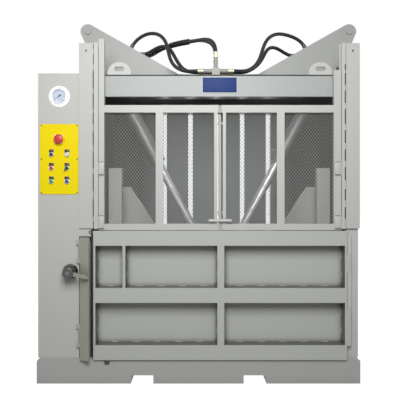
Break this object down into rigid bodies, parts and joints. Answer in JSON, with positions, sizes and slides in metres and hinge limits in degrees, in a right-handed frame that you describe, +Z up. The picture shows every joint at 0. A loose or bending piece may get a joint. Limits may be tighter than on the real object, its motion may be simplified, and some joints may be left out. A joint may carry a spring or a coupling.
{
  "type": "recycling baler",
  "caption": "Vertical baler with slanted twin cylinders, a sliding mesh gate, a hinged chamber door, a side power cabinet and a welded base with fork pockets.",
  "frame": {"origin": "middle of the base's underside, on the floor", "axes": "+Z up, -Y towards the operator, +X to the operator's right"},
  "size_m": [2.013, 1.046, 2.264],
  "materials": {
    "machine_paint": "semi-gloss light grey machine paint",
    "chrome_steel": "bright chrome plate",
    "bare_steel": "turned and zinc plated steel",
    "hose_rubber": "black hydraulic hose",
    "yellow_plate": "yellow enamel sheet",
    "red_plastic": "gloss red",
    "green_plastic": "gloss green",
    "blue_plastic": "gloss blue",
    "white_plastic": "white lens",
    "black_plastic": "moulded black",
    "inner_paint": "dark grey enamel",
    "cast_metal": "as cast"
  },
  "bodies": {
    "frame": {"base_frame": "machine_paint", "chamber_floor": "machine_paint", "left_side_frame": "machine_paint", "right_side_frame": "machine_paint", "rear_wall": "machine_paint", "front_top_beam": "machine_paint", "rear_top_beam": "machine_paint", "front_crosshead_plate": "machine_paint", "rear_crosshead_plate": "machine_paint", "cylinder_pins": "bare_steel", "lifting_lugs": "machine_paint", "gate_guides": "machine_paint", "counterweight_boxes": "machine_paint", "hinge_pins": "bare_steel", "door_rest": "black_plastic", "lock_hub": "chrome_steel", "cabinet_shell": "machine_paint", "cabinet_side_cover": "machine_paint", "oil_tank": "inner_paint", "electric_motor": "inner_paint", "gear_pump": "cast_metal", "valve_block": "cast_metal", "electrical_panel": "bare_steel", "control_plate": "yellow_plate", "control_bezels": "chrome_steel", "signal_lamp": "white_plastic", "gauge_body": "bare_steel", "hose_tees": "bare_steel", "hose_bulkheads": "bare_steel", "left_arch_hose": "hose_rubber", "left_low_hose": "hose_rubber", "supply_hose_one": "hose_rubber", "supply_hose_two": "hose_rubber", "right_arch_hose": "hose_rubber", "right_low_hose": "hose_rubber"},
    "platen": {"platen": "machine_paint", "rod_bracket": "machine_paint", "platen_masts": "machine_paint"},
    "left_barrel": {"left_barrel": "machine_paint"},
    "right_barrel": {"right_barrel": "machine_paint"},
    "left_rod": {"left_rod": "chrome_steel"},
    "right_rod": {"right_rod": "chrome_steel"},
    "gate": {"gate_frame": "machine_paint", "gate_mesh": "machine_paint", "gate_shoes": "machine_paint"},
    "gate_latch": {"gate_latch": "machine_paint"},
    "left_pulley": {"left_pulley": "bare_steel"},
    "right_pulley": {"right_pulley": "bare_steel"},
    "left_counterweight": {"left_counterweight": "bare_steel"},
    "right_counterweight": {"right_counterweight": "bare_steel"},
    "chamber_door": {"chamber_door": "machine_paint"},
    "lock_bar": {"lock_bar": "machine_paint"},
    "lock_lever": {"lock_lever": "chrome_steel"},
    "stop_button": {"stop_button": "red_plastic"},
    "black_button": {"black_button": "black_plastic"},
    "red_button": {"red_button": "red_plastic"},
    "green_button": {"green_button": "green_plastic"},
    "blue_button": {"blue_button": "blue_plastic"},
    "selector_knob": {"selector_knob": "black_plastic"},
    "gauge_needle": {"gauge_needle": "black_plastic"}
  },
  "joints": [
    {"name": "platen_slide", "type": "slide", "parent": "frame", "child": "platen", "axis": [0, 0, 1], "range_m": [0, 0.85]},
    {"name": "left_barrel_swing", "type": "hinge", "parent": "frame", "child": "left_barrel", "pos_m": [-0.73, -0.069, 2.216], "axis": [0, -1, 0], "range_deg": [0, 22.51]},
    {"name": "right_barrel_swing", "type": "hinge", "parent": "frame", "child": "right_barrel", "pos_m": [0.99, -0.005, 2.216], "axis": [0, 1, 0], "range_deg": [0, 22.51]},
    {"name": "left_rod_slide", "type": "slide", "parent": "left_barrel", "child": "left_rod", "axis": [-0.4713, 0, 0.882], "range_m": [0, 0.6707]},
    {"name": "right_rod_slide", "type": "slide", "parent": "right_barrel", "child": "right_rod", "axis": [0.4713, 0, 0.882], "range_m": [0, 0.6707]},
    {"name": "gate_slide", "type": "slide", "parent": "frame", "child": "gate", "axis": [0, 0, 1], "range_m": [0, 0.7]},
    {"name": "left_weight_slide", "type": "slide", "parent": "frame", "child": "left_counterweight", "axis": [0, 0, -1], "range_m": [0, 0.701]},
    {"name": "right_weight_slide", "type": "slide", "parent": "frame", "child": "right_counterweight", "axis": [0, 0, -1], "range_m": [0, 0.701]},
    {"name": "left_pulley_spin", "type": "hinge", "parent": "frame", "child": "left_pulley", "pos_m": [-0.678, -0.4305, 2.006], "axis": [0, -1, 0], "range_deg": [0, 1255]},
    {"name": "right_pulley_spin", "type": "hinge", "parent": "frame", "child": "right_pulley", "pos_m": [0.93, -0.4305, 2.006], "axis": [0, 1, 0], "range_deg": [0, 1255]},
    {"name": "gate_latch_lift", "type": "slide", "parent": "gate", "child": "gate_latch", "axis": [0, 0, 1], "range_m": [0, 0.009]},
    {"name": "door_swing", "type": "hinge", "parent": "frame", "child": "chamber_door", "pos_m": [0.904, -0.482, 0], "axis": [0, 0, 1], "range_deg": [0, 110]},
    {"name": "lock_bar_swing", "type": "hinge", "parent": "frame", "child": "lock_bar", "pos_m": [-0.716, -0.487, 0], "axis": [0, 0, 1], "range_deg": [0, 30]},
    {"name": "lock_lever_turn", "type": "hinge", "parent": "frame", "child": "lock_lever", "pos_m": [-0.772, -0.494, 0.675], "axis": [0, -1, 0], "range_deg": [0, 90]},
    {"name": "stop_press", "type": "slide", "parent": "frame", "child": "stop_button", "axis": [0, 1, 0], "range_m": [0, 0.005]},
    {"name": "black_press", "type": "slide", "parent": "frame", "child": "black_button", "axis": [0, 1, 0], "range_m": [0, 0.004], "stiffness_N_per_m": 500},
    {"name": "red_press", "type": "slide", "parent": "frame", "child": "red_button", "axis": [0, 1, 0], "range_m": [0, 0.004], "stiffness_N_per_m": 500},
    {"name": "green_press", "type": "slide", "parent": "frame", "child": "green_button", "axis": [0, 1, 0], "range_m": [0, 0.004], "stiffness_N_per_m": 500},
    {"name": "blue_press", "type": "slide", "parent": "frame", "child": "blue_button", "axis": [0, 1, 0], "range_m": [0, 0.004], "stiffness_N_per_m": 500},
    {"name": "selector_turn", "type": "hinge", "parent": "frame", "child": "selector_knob", "pos_m": [-0.793, -0.494, 1.2985], "axis": [0, -1, 0], "range_deg": [0, 90]},
    {"name": "needle_turn", "type": "hinge", "parent": "frame", "child": "gauge_needle", "pos_m": [-0.84, -0.494, 1.73], "axis": [0, 1, 0], "range_deg": [0, 260], "stiffness_Nm_per_rad": 0.001}
  ],
  "couplings": [
    {"joint": "left_barrel_swing", "follows": "platen_slide", "rad_per_m": 0.46111},
    {"joint": "right_barrel_swing", "follows": "platen_slide", "rad_per_m": 0.46111},
    {"joint": "left_rod_slide", "follows": "platen_slide", "ratio": 0.78845},
    {"joint": "right_rod_slide", "follows": "platen_slide", "ratio": 0.78845},
    {"joint": "left_weight_slide", "follows": "gate_slide", "ratio": 1},
    {"joint": "right_weight_slide", "follows": "gate_slide", "ratio": 1},
    {"joint": "left_pulley_spin", "follows": "gate_slide", "rad_per_m": 31.25},
    {"joint": "right_pulley_spin", "follows": "gate_slide", "rad_per_m": 31.25}
  ]
}
